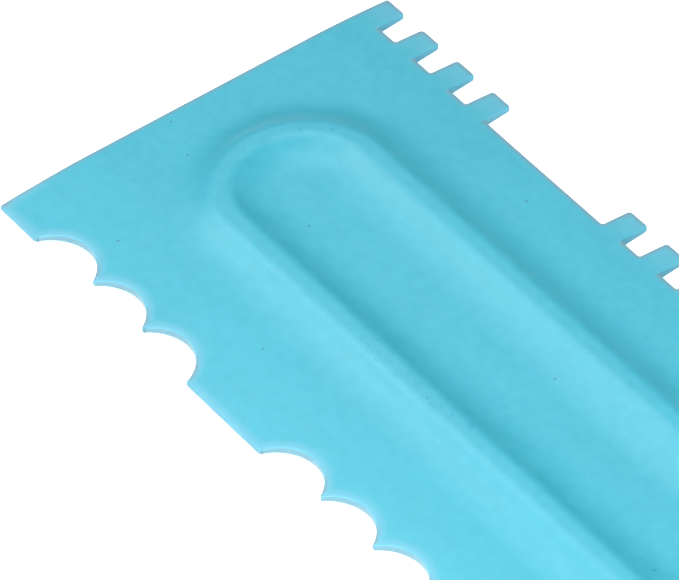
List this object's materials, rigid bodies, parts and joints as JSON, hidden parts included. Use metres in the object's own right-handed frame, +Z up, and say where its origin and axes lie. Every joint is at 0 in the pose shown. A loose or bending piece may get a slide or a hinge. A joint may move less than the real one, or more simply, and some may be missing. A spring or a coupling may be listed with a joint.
{
  "type": "notched comb scraper",
  "caption": "Flat plastic comb scraper: square teeth on one long edge, scallops on the other, and a raised stadium-shaped grip ridge on each face.",
  "frame": {"origin": "middle of the length and width, on the surface that the comb lies on", "axes": "+X along the length, +Y towards the toothed edge, +Z up out of the upper face"},
  "size_m": [0.2206, 0.08, 0.0068],
  "materials": {
    "turquoise_plastic": "satin, slightly translucent polypropylene"
  },
  "bodies": {
    "root": {"comb_scraper": "turquoise_plastic"}
  },
  "joints": []
}
